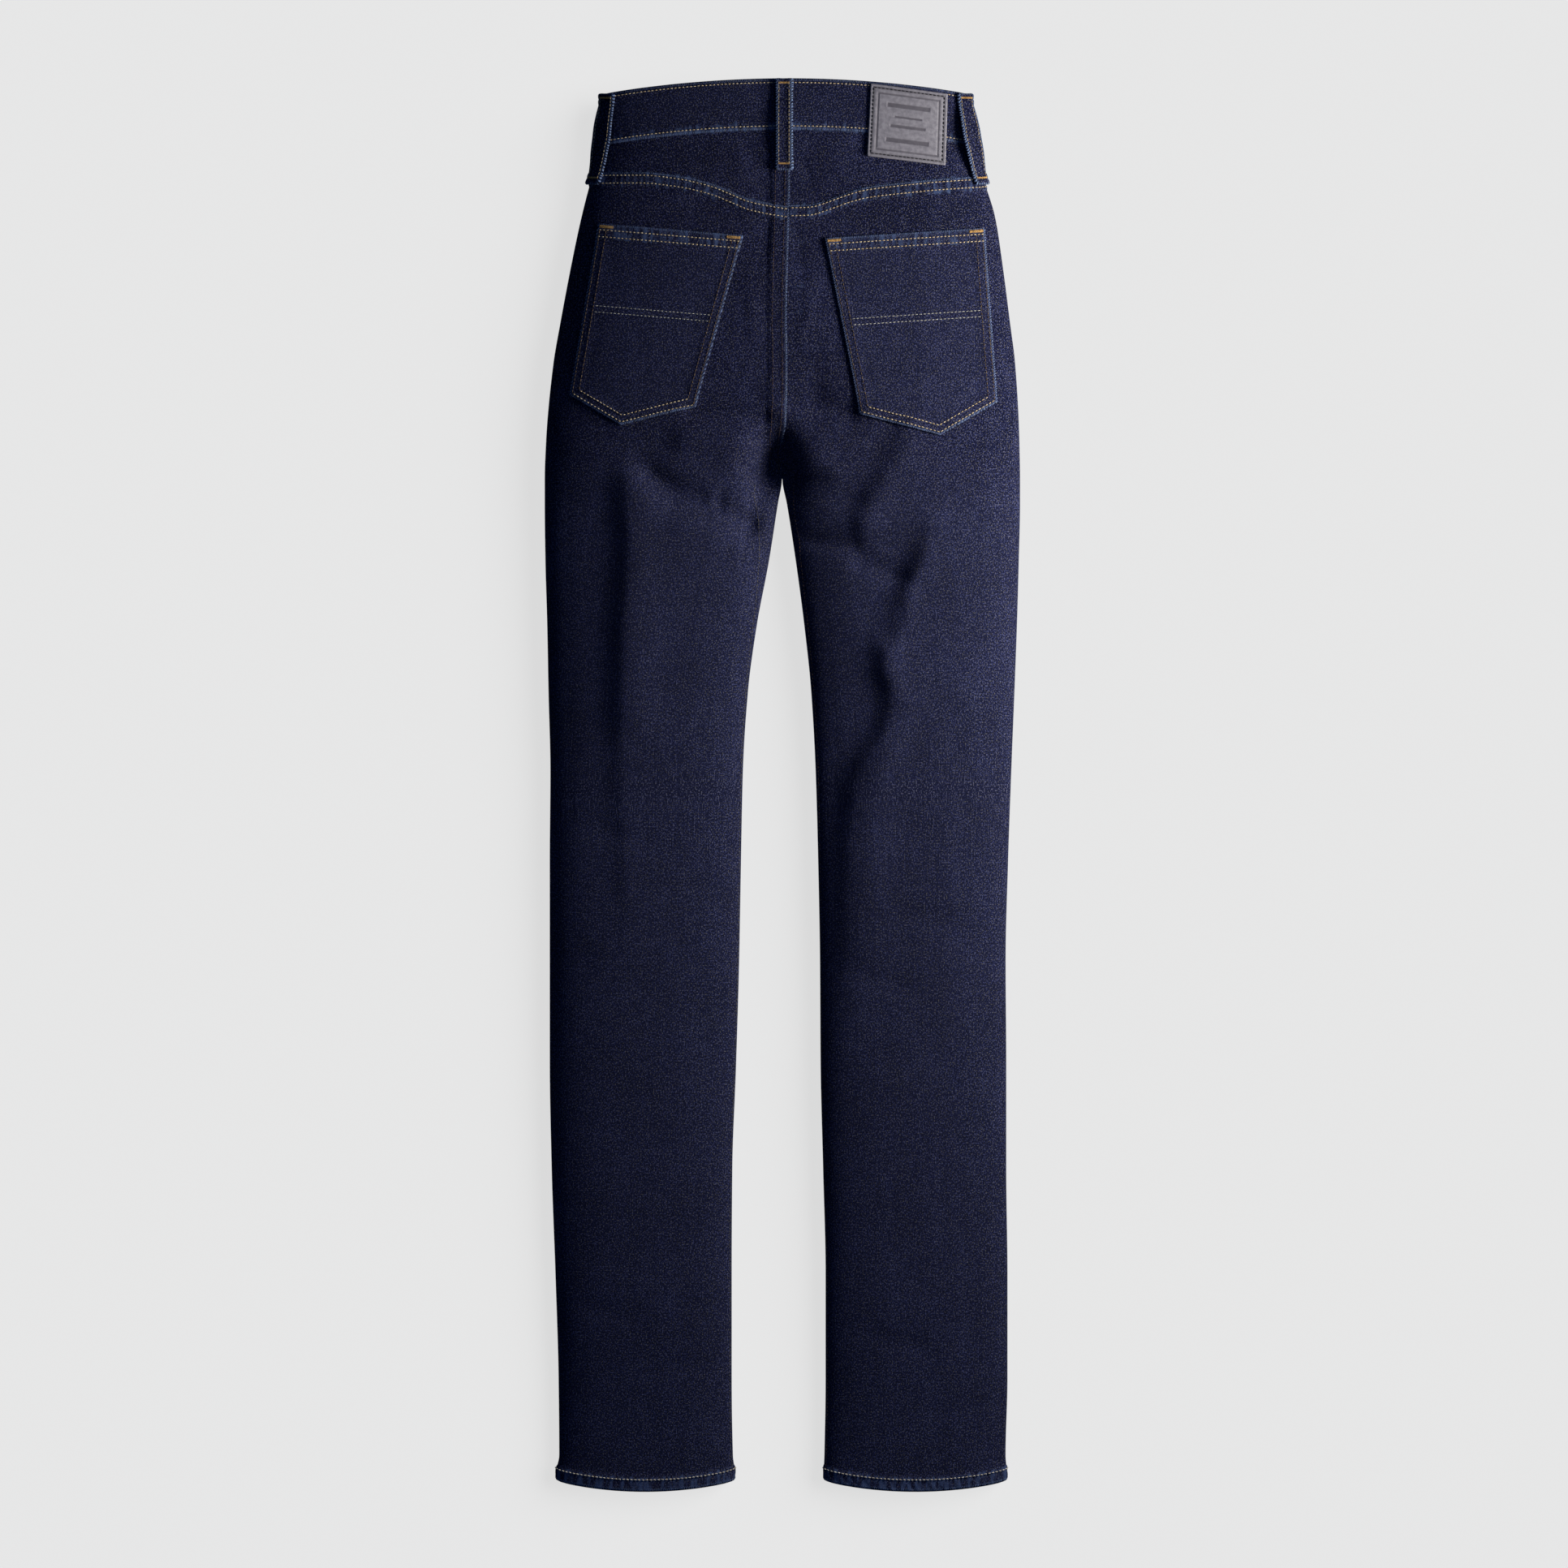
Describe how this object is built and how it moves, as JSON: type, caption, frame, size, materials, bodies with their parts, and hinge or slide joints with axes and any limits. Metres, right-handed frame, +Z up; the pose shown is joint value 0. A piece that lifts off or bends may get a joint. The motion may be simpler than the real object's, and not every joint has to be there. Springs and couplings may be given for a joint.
{
  "type": "slim fit jeans, laid flat",
  "caption": "Slim-cut high-rise denim jeans lying flat with the back up: waistband with belt loops, yoke, patch pockets, straight legs with turned hems.",
  "frame": {"origin": "centre of the garment's outline, on the surface that it lies on", "axes": "+Y towards the waistband, +Z up out of the back of the garment, +X towards the wearer's right when the back is seen"},
  "size_m": [0.381, 1.1296, 0.0493],
  "materials": {
    "indigo_denim": "rinsed indigo twill denim, dry and matte, with pale weft flecks",
    "patch_leather": "grey-brown pressed leather board, satin",
    "copper_metal": "antique copper, satin"
  },
  "bodies": {
    "root": {"back_leg_left": "indigo_denim", "back_leg_right": "indigo_denim", "yoke_left": "indigo_denim", "yoke_right": "indigo_denim", "front_leg_left": "indigo_denim", "front_leg_right": "indigo_denim", "front_pocket_facing_left": "indigo_denim", "front_pocket_facing_right": "indigo_denim", "back_pocket_left": "indigo_denim", "back_pocket_right": "indigo_denim", "waistband": "indigo_denim", "belt_loop_centre_back": "indigo_denim", "belt_loop_side_left": "indigo_denim", "belt_loop_side_right": "indigo_denim", "belt_loop_front_left": "indigo_denim", "belt_loop_front_right": "indigo_denim", "waist_patch": "patch_leather", "waist_button": "copper_metal"}
  },
  "joints": []
}
